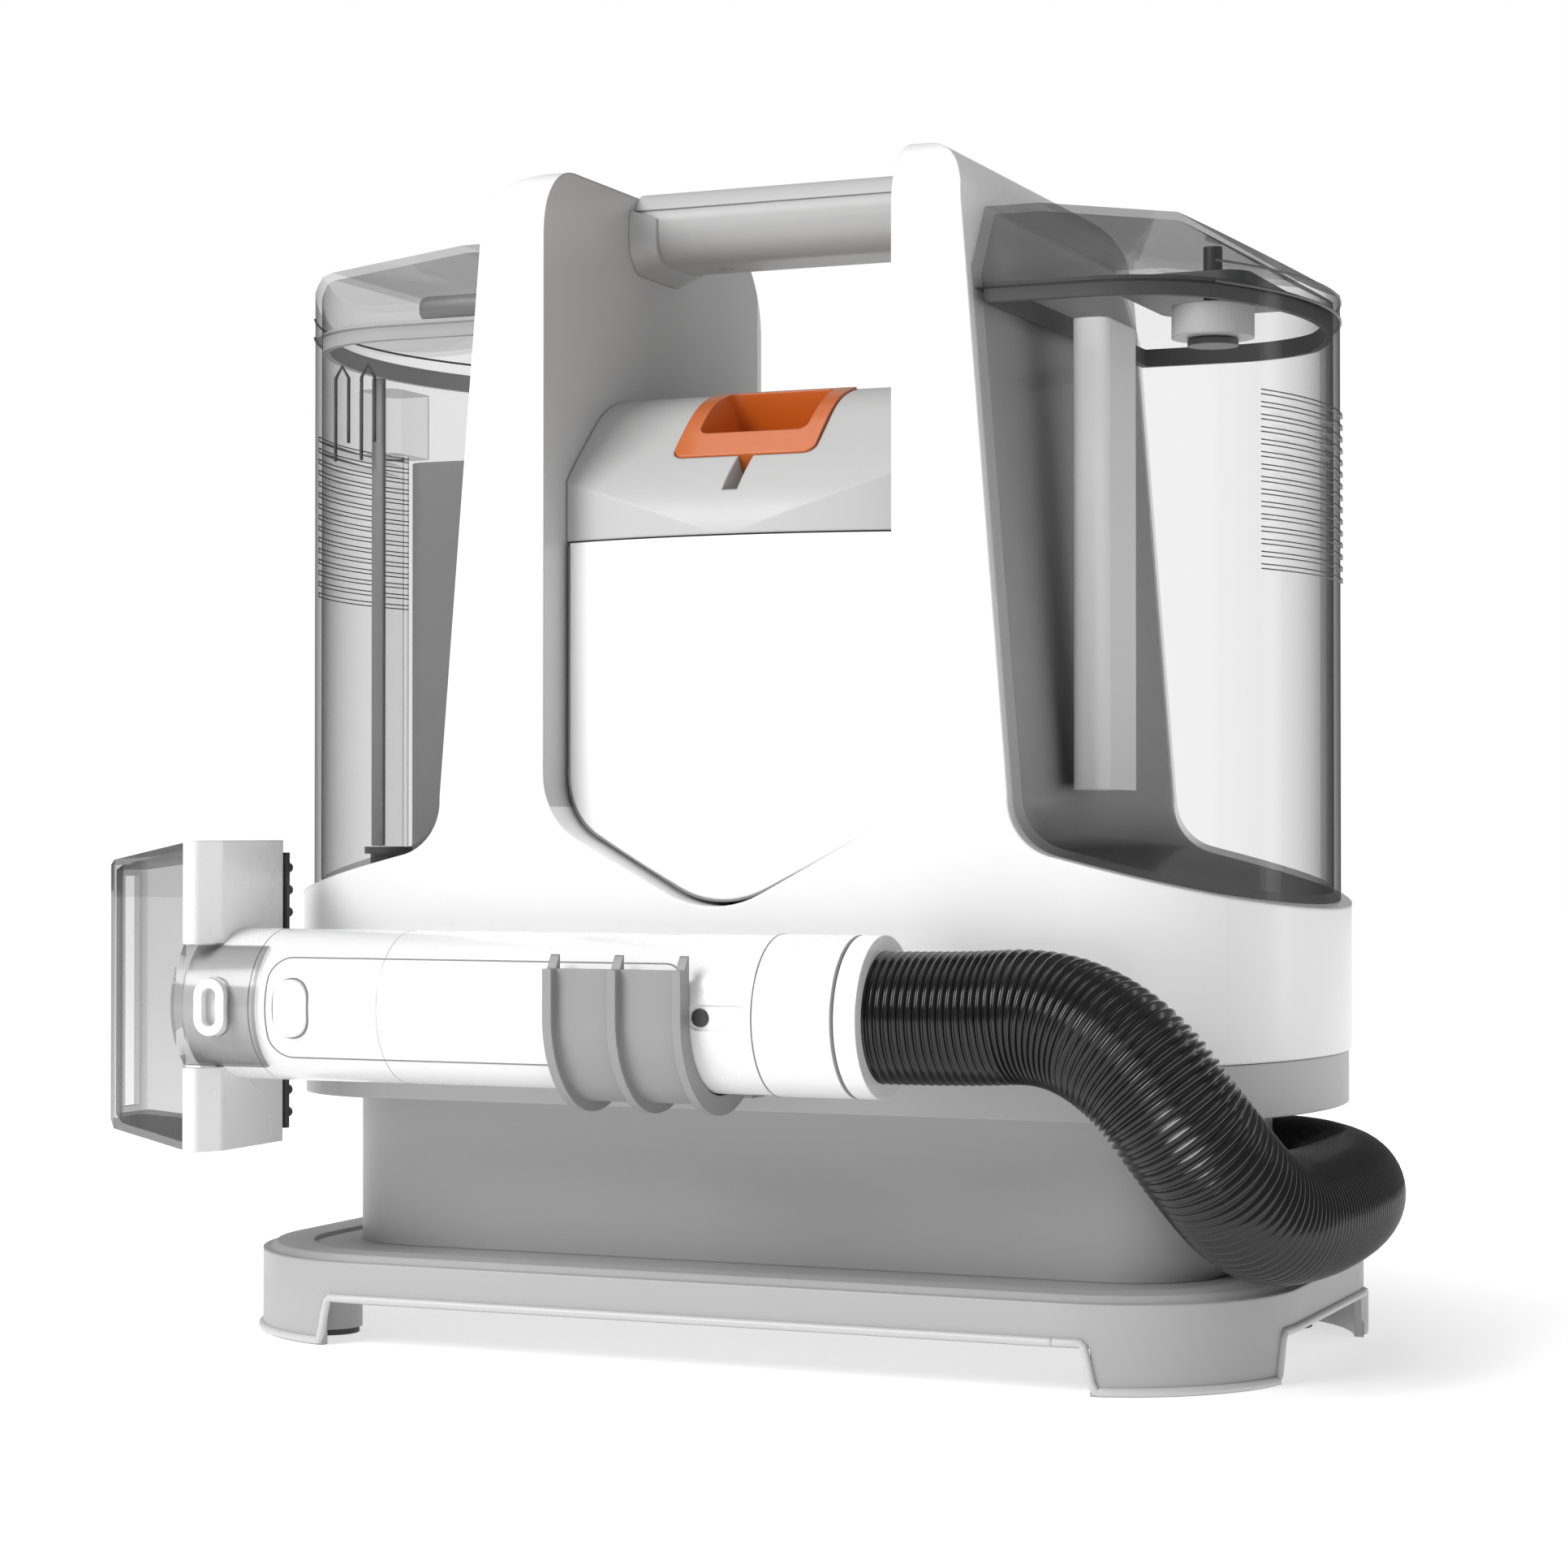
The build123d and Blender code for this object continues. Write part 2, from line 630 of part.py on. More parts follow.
def cradle_section(outer, with_foot):
    """The cradle from the side: a round trough, straight above the axis so that the wand lifts out."""
    with BuildSketch(Plane.YZ) as section:
        with Locations((wand_y, wand_z)):
            Circle(outer)
        with Locations((wand_y - (outer + cradle_inner) / 2, wand_z + lip_height / 2)):
            Rectangle(outer - cradle_inner, lip_height)
        with Locations((wand_y, wand_z + 20)):
            Rectangle(2 * cradle_inner, 40, mode=Mode.SUBTRACT)
        with Locations((wand_y + 20 + 4, wand_z + 20)):
            Rectangle(40, 40, mode=Mode.SUBTRACT)
        if with_foot:
            with Locations((body_front - 5, wand_z - 12)):
                Rectangle(10, 30)
        with Locations((wand_y, wand_z)):
            Circle(cradle_inner, mode=Mode.SUBTRACT)
    return section.sketch_local


cradle_trough, cradle_collar = cradle_section(cradle_outer, True), cradle_section(cradle_rib, False)
with BuildPart() as wand_cradle:
    with BuildSketch(Plane.YZ.offset(cradle_left)):
        add(cradle_trough)
    extrude(amount=cradle_right - cradle_left)
    for start in (cradle_left, (cradle_left + cradle_right) / 2 - 1.5, cradle_right - 3):
        with BuildSketch(Plane.YZ.offset(start)):
            add(cradle_collar)
        extrude(amount=3)
save(wand_cradle, "wand_cradle")


# ---------------------------------------------------------------- hand wand
inlay_left, inlay_right, inlay_half = -128.0, 14.0, 15.5
spray_x, pin_x, latch_x = -119.0, 20.5, -146.0
wand_front = wand_y - wand_radius
tube_wall = 2.5

with BuildPart() as wand_tube:
    with BuildSketch(Plane.YZ.offset(wand_neck_x)):
        with Locations((wand_y, wand_z)):
            Circle(wand_radius)
            Circle(wand_radius - tube_wall - 1.2, mode=Mode.SUBTRACT)
    extrude(amount=wand_seam_x - wand_neck_x)
    # the bed of the inlay panel, the pin's recess and the holes of the pin and the button
    with BuildSketch(Plane.XZ.offset(-wand_y + wand_radius - 1.5 - 5)):
        with Locations(((inlay_left + inlay_right) / 2, wand_z)):
            RectangleRounded(inlay_right - inlay_left + 0.4, 2 * inlay_half + 0.4, 7)
    extrude(amount=12, mode=Mode.SUBTRACT)
    with BuildSketch(Plane.XZ.offset(-wand_y + wand_radius - 0.8)):
        with Locations((pin_x + 6, wand_z)):
            SlotOverall(20, 7.4)
    extrude(amount=4, mode=Mode.SUBTRACT)
    with BuildSketch(Plane.XZ.offset(-wand_y)):
        with Locations((pin_x, wand_z)):
            Circle(2.65)
        with Locations((spray_x, wand_z)):
            SlotOverall(18.6, 12.6, rotation=90)
    extrude(amount=wand_radius + 2, mode=Mode.SUBTRACT)
save(wand_tube, "wand_tube")

with BuildPart() as wand_inlay:
    with BuildSketch(Plane.YZ.offset(inlay_left)):
        with Locations((wand_y, wand_z)):
            Circle(wand_radius)
    extrude(amount=inlay_right - inlay_left)
    with BuildSketch(Plane.XZ.offset(-wand_y + wand_radius - 1.5 - 4.9)):
        with Locations(((inlay_left + inlay_right) / 2, wand_z)):
            RectangleRounded(inlay_right - inlay_left, 2 * inlay_half, 6.8)
    extrude(amount=12, mode=Mode.INTERSECT)
    with BuildSketch(Plane.XZ.offset(-wand_y)):
        with Locations((spray_x, wand_z)):
            SlotOverall(18.6, 12.6, rotation=90)
    extrude(amount=wand_radius + 2, mode=Mode.SUBTRACT)
save(wand_inlay, "wand_inlay")

with BuildPart() as spray_button:
    with BuildSketch(Plane.XZ.offset(-wand_y + wand_radius - 7)):
        with Locations((spray_x, wand_z)):
            SlotOverall(18, 12, rotation=90)
    extrude(amount=7.6)
    fillet(spray_button.faces().sort_by(Axis.Y)[0].edges(), 0.5)
save(spray_button, "spray_button")

with BuildPart() as swivel_pin:
    with BuildSketch(Plane.XZ.offset(-wand_y + wand_radius - 6)):
        with Locations((pin_x, wand_z)):
            Circle(2.6)
    extrude(amount=5.8)
save(swivel_pin, "swivel_pin")

with BuildPart() as wand_cuff:
    with BuildSketch(Plane.YZ.offset(wand_seam_x + 0.3)):
        with Locations((wand_y, wand_z)):
            Circle(wand_radius + 0.3)
    extrude(amount=wand_end_x - wand_seam_x - 8.3)
    with BuildSketch(Plane.YZ.offset(wand_end_x - 8)):
        with Locations((wand_y, wand_z)):
            Circle(wand_radius - 0.8)
    extrude(amount=1.2)
    with BuildSketch(Plane.YZ.offset(wand_end_x - 6.8)):
        with Locations((wand_y, wand_z)):
            Circle(wand_radius + 0.3)
    extrude(amount=6.8)
    with BuildSketch(Plane.YZ.offset(wand_seam_x + 0.3)):
        with Locations((wand_y, wand_z)):
            Circle(16.5)
    extrude(amount=60, mode=Mode.SUBTRACT)
save(wand_cuff, "wand_cuff")


# ---------------------------------------------------------------- head of the wand
def head_block(margin, left, right):
    """The wide head seen from above, raised to its full width, which stands upright in the dock."""
    with BuildPart() as block:
        with BuildSketch(Plane.XY.offset(head_z - head_half + margin)):
            with BuildLine():
                FilletPolyline(
                    (left, head_back - margin), (right - margin, head_back - margin),
                    (right + 1 - margin, head_front + 9 + margin), (right - 4, head_front + margin),
                    (left, head_front + margin), radius=3,
                )
                Line((left, head_front + margin), (left, head_back - margin))
            make_face()
        extrude(amount=2 * (head_half - margin))
    return block.part


shell_left = -158.0
head_outside = head_block(0, shell_left, head_right)
head_inside = head_block(2.4, shell_left - 5, head_right)

with BuildPart() as head_shell:
    add(head_outside)
    add(head_inside, mode=Mode.SUBTRACT)
    # the front is open where the cover's tongue passes over the neck
    with BuildSketch(Plane.YZ.offset(shell_left - 1)):
        with Locations((wand_y - 40, wand_z)):
            Rectangle(80, 39)
    extrude(amount=40, mode=Mode.SUBTRACT)
    with BuildSketch(Plane.YZ.offset(shell_left)):
        with Locations((wand_y, wand_z)):
            Circle(wand_radius)
    extrude(amount=wand_neck_x - shell_left - 0.3)
    with BuildSketch(Plane.YZ.offset(shell_left - 1)):
        with Locations((wand_y, wand_z)):
            Circle(wand_radius - 4)
    extrude(amount=60, mode=Mode.SUBTRACT)
save(head_shell, "head_shell")


def nozzle_block(margin):
    """The nozzle cover seen from above: a hood that narrows towards its mouth."""
    with BuildPart() as block:
        with BuildSketch(Plane.XY.offset(head_z - head_half + margin + 0.6)):
            with BuildLine():
                FilletPolyline(
                    (shell_left - 0.4, head_back - margin - 0.5),
                    (head_left + 9 + margin, head_back - margin - 3),
                    (head_left + margin, head_back - 12), (head_left + margin, head_front + 18),
                    (head_left + 10 + margin, head_front + 5 + margin),
                    (shell_left - 0.4, head_front + margin + 0.5), radius=3,
                )
                Line((shell_left - 0.4, head_front + margin + 0.5), (shell_left - 0.4, head_back - margin - 0.5))
            make_face()
        extrude(amount=2 * (head_half - margin - 0.6))
        with BuildSketch(Plane.XZ):
            with Locations((0, head_z)):
                Polygon(
                    (head_left, margin - mouth_half), (shell_left, margin + 0.6 - head_half),
                    (shell_left, head_half - margin - 0.6), (head_left, mouth_half - margin), align=None,
                )
        extrude(amount=deep, both=True, mode=Mode.INTERSECT)
    return block.part


nozzle_outside, nozzle_inside = nozzle_block(0), nozzle_block(2.0)
with BuildPart() as nozzle_cover:
    add(nozzle_outside)
    add(nozzle_inside, mode=Mode.SUBTRACT)
    # the suction mouth
    with BuildSketch(Plane.YZ.offset(head_left - 1)):
        with Locations(((head_back - 12 + head_front + 18) / 2, head_z)):
            Rectangle(8, 2 * mouth_half - 7)
    extrude(amount=6, mode=Mode.SUBTRACT)
    # its tongue reaches back over the neck and carries the latch
    with BuildSketch(Plane.YZ.offset(shell_left - 3)):
        with Locations((wand_y, wand_z)):
            Circle(wand_radius + 2.4)
            Circle(wand_radius + 0.4, mode=Mode.SUBTRACT)
        with Locations((wand_y - 40, wand_z)):
            Rectangle(60, 38, mode=Mode.INTERSECT)
    extrude(amount=tongue_end - shell_left + 3)
    with BuildSketch(Plane.XZ.offset(-wand_y)):
        with Locations((latch_x, wand_z)):
            SlotOverall(18.6, 11.6, rotation=90)
    extrude(amount=wand_radius + 6, mode=Mode.SUBTRACT)
save(nozzle_cover, "nozzle_cover")

with BuildPart() as head_latch:
    with BuildSketch(Plane.XZ.offset(-wand_y + wand_radius + 1.4)):
        with Locations((latch_x, wand_z)):
            SlotOverall(18, 11, rotation=90)
            SlotOverall(12, 5, rotation=90, mode=Mode.SUBTRACT)
    extrude(amount=2.6)
save(head_latch, "head_latch")

strip_x, nub_x, nub_radius, nub_height = -152.9, -151.8, 1.6, 2.6
with BuildPart() as brush_block:
    with BuildSketch(Plane.XY.offset(head_z - head_half + 4)):
        with Locations((strip_x, head_back + 1)):
            Rectangle(6, 2)
    extrude(amount=2 * head_half - 8)
save(brush_block, "brush_block")

nub_count = 12
with BuildPart() as brush_nubs:
    for step in range(nub_count):
        lift = head_z - head_half + 9 + step * (2 * head_half - 18) / (nub_count - 1)
        with BuildSketch(Plane.XZ.offset(-head_back - 2)):
            with Locations((nub_x, lift)):
                Circle(nub_radius)
        extrude(amount=-nub_height)
save(brush_nubs, "brush_nubs")


# ---------------------------------------------------------------- inside the body
motor_y, motor_low, motor_high, motor_radius = 20.0, 174.0, 254.0, 42.0
with BuildPart() as vacuum_motor:
    with BuildSketch(Plane.XY.offset(motor_low + 34)):
        with Locations((0, motor_y)):
            Circle(motor_radius - 6)
    extrude(amount=motor_high - motor_low - 34)
    with BuildSketch(Plane.XY.offset(motor_low + 6)):
        with Locations((0, motor_y)):
            Circle(4)
    extrude(amount=30)
save(vacuum_motor, "vacuum_motor")

with BuildPart() as fan_housing:
    with BuildSketch(Plane.XY.offset(motor_low)):
        with Locations((0, motor_y)):
            Circle(motor_radius)
    extrude(amount=34)
    with BuildSketch(Plane.XY.offset(motor_low + 3)):
        with Locations((0, motor_y)):
            Circle(motor_radius - 3)
    extrude(amount=28, mode=Mode.SUBTRACT)
    with BuildSketch(Plane.XY.offset(motor_low)):
        with Locations((0, motor_y)):
            Circle(12)
    extrude(amount=34, mode=Mode.SUBTRACT)
save(fan_housing, "fan_housing")

blade_count = 9
with BuildPart() as impeller:
    with BuildSketch(Plane.XY.offset(motor_low + 8)):
        with Locations((0, motor_y)):
            Circle(35)
    extrude(amount=2)
    with BuildSketch(Plane.XY.offset(motor_low + 10)):
        with Locations((0, motor_y)):
            Circle(9)
    extrude(amount=12)
    with BuildSketch(Plane.XY.offset(motor_low + 10)):
        with Locations((0, motor_y)):
            with PolarLocations(21, blade_count):
                Rectangle(26, 1.6, rotation=28)
    extrude(amount=12)
    with BuildSketch(Plane.XY.offset(motor_low)):
        with Locations((0, motor_y)):
            Circle(4.05)
    extrude(amount=40, mode=Mode.SUBTRACT)
save(impeller, "impeller")

with BuildPart() as exhaust_filter:
    with BuildSketch(Plane.XZ.offset(-cover_y + 12)):
        with Locations((-28, 262)):
            Rectangle(48, 30)
    extrude(amount=-10)
save(exhaust_filter, "exhaust_filter")

with BuildPart() as water_pump:
    with BuildSketch(Plane.YZ.offset(-52)):
        with Locations((30, 124)):
            Circle(14)
    extrude(amount=52)
    with BuildSketch(Plane.YZ.offset(-72)):
        with Locations((30, 124)):
            Rectangle(32, 32)
    extrude(amount=20)
save(water_pump, "water_pump")

with BuildPart() as control_board:
    with BuildSketch(Plane.XY.offset(112)):
        with Locations((50, 0)):
            Rectangle(60, 48)
    extrude(amount=1.6)
    for x, y, side, height in ((34, -10, 12, 9), (54, 8, 16, 7), (68, -12, 8, 12)):
        with BuildSketch(Plane.XY.offset(113.6)):
            with Locations((x, y)):
                Rectangle(side, side)
        extrude(amount=height)
save(control_board, "control_board")

with BuildPart() as cord_gland:
    with BuildSketch(Plane.XZ.offset(-body_back)):
        with Locations((-110, 112)):
            Circle(8)
    extrude(amount=-4)
    with BuildSketch(Plane.XZ.offset(-body_back + 6)):
        with Locations((-110, 112)):
            Circle(5)
    extrude(amount=-24, taper=4)
    with BuildSketch(Plane.XZ.offset(-body_back + 6)):
        with Locations((-110, 112)):
            Circle(2.6)
    extrude(amount=-40, mode=Mode.SUBTRACT)
save(cord_gland, "cord_gland")


# ---------------------------------------------------------------- suction hose and its elbow
elbow_bend = elbow_y - body_back
with BuildPart() as hose_elbow:
    with BuildSketch(Plane.XZ.offset(-body_back)):
        with Locations((elbow_x, elbow_z)):
            Circle(elbow_radius + 3)
    extrude(amount=-2.4)
    with BuildLine():
        JernArc((elbow_x, body_back + 0.01, elbow_z), (0, 1, 0), elbow_bend, 90)
    with BuildSketch(Plane(origin=(elbow_x, body_back + 0.01, elbow_z), z_dir=(0, 1, 0))):
        Circle(elbow_radius - 1)
    sweep()
    with BuildSketch(Plane.YZ.offset(elbow_x - elbow_bend - 7)):
        with Locations((elbow_y, elbow_z)):
            Circle(elbow_radius)
    extrude(amount=8)
save(hose_elbow, "hose_elbow")

hose_end_x = elbow_x - elbow_bend - 7
hose_route = [
    (wand_end_x, wand_y, wand_z), (96, wand_y, wand_z), (124, -111, 112), (149, -117, 100), (166, -113, 76),
    (177, -90, 53), (181, -50, 50), (181, -6, 51), (172, 38, 50), (148, 72, 50.5), (108, 82, 49.5),
    (60, 80, 50), (10, 82, 49.5), (-40, 80, 50), (-90, 82, 49.5), (-140, 91, 50), (-177, 105, 72),
    (-187, 114, 112), (-171, 120, 150), (-132, 124, 170), (-88, 125, 170), (-44, 123.5, 166),
    (-2, elbow_y, elbow_z), (hose_end_x, elbow_y, elbow_z),
]
route = [Vector(point) for point in hose_route]
hose_radii = []
for before, here, after in zip(route, route[1:], route[2:]):
    arriving, leaving = here - before, after - here
    turn = math.radians(arriving.get_angle(leaving))
    hose_radii.append(0.45 * min(arriving.length, leaving.length) / math.tan(turn / 2))

with BuildPart() as hose:
    with BuildLine() as hose_line:
        FilletPolyline(*hose_route, radius=hose_radii)
    with BuildSketch(Plane(origin=route[0], z_dir=route[1] - route[0])):
        Circle(hose_diameter / 2)
    sweep(transition=Transition.ROUND)
save(hose, "hose")

hose_length = hose_line.wires()[0].length
print("hose length", round(hose_length), "radii", [round(radius) for radius in hose_radii])
print("hose volume over section times length",
      round(hose.part.volume / (math.pi * hose_diameter ** 2 / 4 * hose_length), 4))
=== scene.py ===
import math
import bmesh
import bpy
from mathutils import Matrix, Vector


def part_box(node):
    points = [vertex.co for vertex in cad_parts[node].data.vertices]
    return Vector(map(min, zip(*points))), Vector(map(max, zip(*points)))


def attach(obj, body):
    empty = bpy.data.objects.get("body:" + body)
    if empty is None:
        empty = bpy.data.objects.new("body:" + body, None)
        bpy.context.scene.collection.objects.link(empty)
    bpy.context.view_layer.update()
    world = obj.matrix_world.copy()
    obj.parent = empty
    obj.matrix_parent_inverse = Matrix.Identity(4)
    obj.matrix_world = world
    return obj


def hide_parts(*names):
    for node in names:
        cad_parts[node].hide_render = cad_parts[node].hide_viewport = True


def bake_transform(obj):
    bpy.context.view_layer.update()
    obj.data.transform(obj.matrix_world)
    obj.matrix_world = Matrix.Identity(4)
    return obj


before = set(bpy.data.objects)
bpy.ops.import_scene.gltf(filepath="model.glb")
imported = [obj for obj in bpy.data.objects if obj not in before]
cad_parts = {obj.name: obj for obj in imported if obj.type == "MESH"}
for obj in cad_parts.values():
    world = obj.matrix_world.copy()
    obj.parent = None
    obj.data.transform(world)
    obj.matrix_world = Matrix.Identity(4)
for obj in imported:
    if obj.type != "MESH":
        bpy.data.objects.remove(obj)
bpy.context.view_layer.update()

# The machine's own frame: X = 0 on its plane of symmetry, Y = 0 at the middle of the plinth, Z = 0 on the floor.
plinth_low, plinth_high = (Vector(corner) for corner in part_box("plinth"))
machine = Vector(((plinth_low.x + plinth_high.x) / 2, (plinth_low.y + plinth_high.y) / 2, 0))


# ---------------------------------------------------------------- camera, lights and backdrop
azimuth = math.radians(23.0)
tilt = math.radians(0.73)
camera_data = bpy.data.cameras.new("camera")
camera_data.lens, camera_data.sensor_width = 79.4, 36.0
camera = bpy.data.objects.new("camera", camera_data)
camera.location = machine + Vector((0.442, -1.062, 0.166))
camera.rotation_euler = (math.pi / 2 + tilt, 0, azimuth)
bpy.context.collection.objects.link(camera)
bpy.context.scene.camera = camera
bpy.context.scene.view_settings.view_transform = "Standard"


def soft_lamp(name, place, aim, size, power):
    """A large soft lamp at a place, turned towards a point of the machine."""
    data = bpy.data.lights.new(name, "AREA")
    data.shape, data.size, data.size_y, data.energy = "RECTANGLE", size[0], size[1], power
    lamp = bpy.data.objects.new(name, data)
    lamp.location = machine + Vector(place)
    lamp.rotation_euler = (Vector(aim) - Vector(place)).to_track_quat("-Z", "Y").to_euler()
    bpy.context.collection.objects.link(lamp)


soft_lamp("key_lamp", (-0.9, -1.7, 1.45), (0, 0, 0.2), (1.1, 1.1), 41)
soft_lamp("top_lamp", (-0.1, -0.1, 1.8), (0, 0, 0.2), (1.3, 1.1), 5)
soft_lamp("edge_lamp", (1.3, 0.9, 0.5), (0.1, 0, 0.2), (0.2, 1.0), 1.2)

# a white backdrop, which lights the machine far less than it shows
world = bpy.data.worlds.new("studio")
world.use_nodes = True
backdrop = world.node_tree
seen = backdrop.nodes.new("ShaderNodeLightPath")
brightness = backdrop.nodes.new("ShaderNodeMapRange")
brightness.inputs["To Min"].default_value, brightness.inputs["To Max"].default_value = 0.32, 1.0
backdrop.links.new(seen.outputs["Is Camera Ray"], brightness.inputs["Value"])
backdrop.links.new(brightness.outputs[0], backdrop.nodes["Background"].inputs["Strength"])
backdrop.nodes["Background"].inputs["Color"].default_value = (1, 1, 1, 1)
bpy.context.scene.world = world


# ---------------------------------------------------------------- shader maths
class Wire:
    """A value in a material, which takes part in Python expressions as a number does."""

    def __init__(self, finish, socket):
        self.finish, self.socket = finish, socket

    def sum_of(self, operation, left, right):
        return self.finish.node("ShaderNodeMath", {"operation": operation}, {0: left, 1: right})

    def __add__(self, other):
        return self.sum_of("ADD", self, other)

    def __radd__(self, other):
        return self.sum_of("ADD", other, self)

    def __sub__(self, other):
        return self.sum_of("SUBTRACT", self, other)

    def __rsub__(self, other):
        return self.sum_of("SUBTRACT", other, self)

    def __mul__(self, other):
        return self.sum_of("MULTIPLY", self, other)

    def __rmul__(self, other):
        return self.sum_of("MULTIPLY", other, self)

    def __gt__(self, other):
        return self.sum_of("GREATER_THAN", self, other)

    def __lt__(self, other):
        return self.sum_of("LESS_THAN", self, other)


class Finish:
    """A material under construction: its tree, its Principled shader and the nodes that it needs."""

    def __init__(self, name, rough, colour=None, **constants):
        self.material = bpy.data.materials.new(name)
        self.material.use_nodes = True
        self.tree = self.material.node_tree
        self.shader = self.tree.nodes["Principled BSDF"]
        self.output = self.tree.nodes["Material Output"]
        self.set("Roughness", rough)
        if colour:
            self.set("Base Color", (*colour, 1))
        for socket, value in constants.items():
            self.set(socket.replace("_", " ").title().replace("Ior", "IOR"), value)

    def set(self, socket, value):
        self.plug(self.shader.inputs[socket], value)

    def plug(self, socket, value):
        if isinstance(value, Wire):
            self.tree.links.new(value.socket, socket)
        else:
            socket.default_value = value

    def node(self, kind, settings=None, inputs=None, output=0):
        """Any node: its settings are set first, then the values or links of its sockets."""
        made = self.tree.nodes.new(kind)
        for key, value in (settings or {}).items():
            if key == "stops":
                for stop, (place, colour) in zip(made.color_ramp.elements, value):
                    stop.position, stop.color = place, colour
            else:
                setattr(made, key, value)
        for socket, value in (inputs or {}).items():
            self.plug(made.inputs[socket], value)
        return Wire(self, made.outputs[output])

    def place(self):
        return self.node("ShaderNodeTexCoord", output="Object")

    def part_of(self, vector, axis):
        return self.node("ShaderNodeSeparateXYZ", inputs={0: vector}, output=axis)

    def noise(self, scale, detail=3.0, rough=0.5, stretch=None):
        place = self.place()
        if stretch:
            place = self.node("ShaderNodeMapping", inputs={"Vector": place, "Scale": stretch})
        return self.node(
            "ShaderNodeTexNoise", inputs={"Vector": place, "Scale": scale, "Detail": detail, "Roughness": rough}
        )

    def blend_colours(self, factor, low, high):
        return self.node("ShaderNodeMix", {"data_type": "RGBA"}, {0: factor, 6: low, 7: high}, output=2)

    def bump(self, height, strength, distance, normal=None):
        inputs = {"Height": height, "Strength": strength, "Distance": distance}
        if normal:
            inputs["Normal"] = normal
        return self.node("ShaderNodeBump", inputs=inputs)

    def soft_edges(self, radius):
        """Rounds sharp moulded edges by a small radius, as they catch the light."""
        return self.node("ShaderNodeBevel", {"samples": 6}, {"Radius": radius})


def shade(value, alpha=1.0):
    return (value, value, value, alpha)


def moulded(name, colour, rough, grain=0.03, grain_scale=1400.0, edge=0.0009, variation=0.03, coat=0.0):
    """Moulded plastic: a fine spark-eroded grain, slight tone changes, handling wear and softened edges."""
    finish = Finish(name, rough)
    cloud = finish.noise(9.0, 4.0)
    darker = tuple(channel * (1 - variation) for channel in colour)
    finish.set("Base Color", finish.blend_colours(cloud, (*darker, 1), (*colour, 1)))
    smear = finish.noise(38.0, 5.0, 0.6)
    finish.set("Roughness", rough - 0.06 + 0.12 * smear)
    grain_height = finish.noise(grain_scale, 2.0)
    finish.set("Normal", finish.bump(grain_height, grain, 0.0003, finish.soft_edges(edge)))
    if coat:
        finish.set("Coat Weight", coat)
        finish.set("Coat Roughness", 0.12)
    return finish.material


def housing_white():
    """The white moulding, with painted shade: grey on the pillars' inner faces, and a shade darker than white
    beside the tanks, both for shade that falls there.
    """
    finish = Finish("housing_white", 0.3)
    saddle_in, saddle_out, saddle_low, saddle_top = 0.0805, 0.112, 0.15, 0.3795
    inner_face, inner_low = 0.0605, 0.13
    place = finish.place()
    facing = finish.node("ShaderNodeNewGeometry", output="Normal")
    side = finish.node("ShaderNodeMath", {"operation": "ABSOLUTE"}, {0: finish.part_of(facing, "X")})
    across = finish.part_of(place, "X") - machine.x
    away = finish.node("ShaderNodeMath", {"operation": "ABSOLUTE"}, {0: across})
    height = finish.part_of(place, "Z")
    # painted shade: the pillars' outer faces beside the tanks, turned to ±X, are made a shade darker for the shade
    # of the smoked tanks over them
    tank_side_shade_mask = (side > 0.75) * (away > saddle_in) * (away < saddle_out)
    tank_side_shade_mask = tank_side_shade_mask * (height > saddle_low) * (height < saddle_top)
    # painted shade: the pillars' inner faces, turned to ±X between the pillars, are given mid grey for the shade
    # that lies there
    inner_shade_mask = (side > 0.9) * (away < inner_face) * (height > inner_low)
    cloud = finish.noise(7.0, 4.0)
    white = finish.blend_colours(cloud, shade(0.82), shade(0.85))
    # painted shade colour beside the tanks, a shade darker than the white
    tank_side_painted_shade = finish.blend_colours(cloud, shade(0.8), shade(0.83))
    # painted shade colour for the pillars' inner faces
    inner_painted_shade = finish.blend_colours(cloud, shade(0.47), shade(0.51))
    finish.set("Base Color", finish.blend_colours(tank_side_shade_mask, finish.blend_colours(inner_shade_mask, white, inner_painted_shade), tank_side_painted_shade))
    smear = finish.noise(30.0, 5.0, 0.6)
    finish.set("Roughness", 0.27 + 0.1 * smear)
    grain_height = finish.noise(1500.0, 2.0)
    finish.set("Normal", finish.bump(grain_height, 0.02, 0.0003, finish.soft_edges(0.0016)))
    finish.set("Coat Weight", 0.25)
    finish.set("Coat Roughness", 0.15)
    return finish.material


def see_through(name, face_tint, edge_tint, edge_power=3.0, rough=0.07):
    """Clear moulding: it tints what lies behind, darkens steeply towards its edges and mirrors the lamps."""
    finish = Finish(name, rough, (0.9, 0.9, 0.9), metallic=1.0)
    facing = finish.node("ShaderNodeLayerWeight", inputs={"Blend": 0.5}, output="Facing")
    steep = finish.node("ShaderNodeMath", {"operation": "POWER"}, {0: facing, 1: edge_power})
    ripple = finish.noise(14.0, 3.0)
    finish.set("Roughness", rough - 0.02 + 0.06 * ripple)
    finish.set("Normal", finish.bump(finish.noise(30.0, 2.0), 0.02, 0.0006))
    face = finish.node("ShaderNodeBsdfTransparent", inputs={"Color": shade(face_tint)})
    edge = finish.node("ShaderNodeBsdfTransparent", inputs={"Color": shade(edge_tint)})
    passed = finish.node("ShaderNodeMixShader", inputs={0: steep, 1: face, 2: edge})
    mirror = 0.015 + 0.35 * (steep * steep)
    gloss = Wire(finish, finish.shader.outputs[0])
    surface = finish.node("ShaderNodeMixShader", inputs={0: mirror, 1: passed, 2: gloss})
    finish.plug(finish.output.inputs["Surface"], surface)
    return finish.material


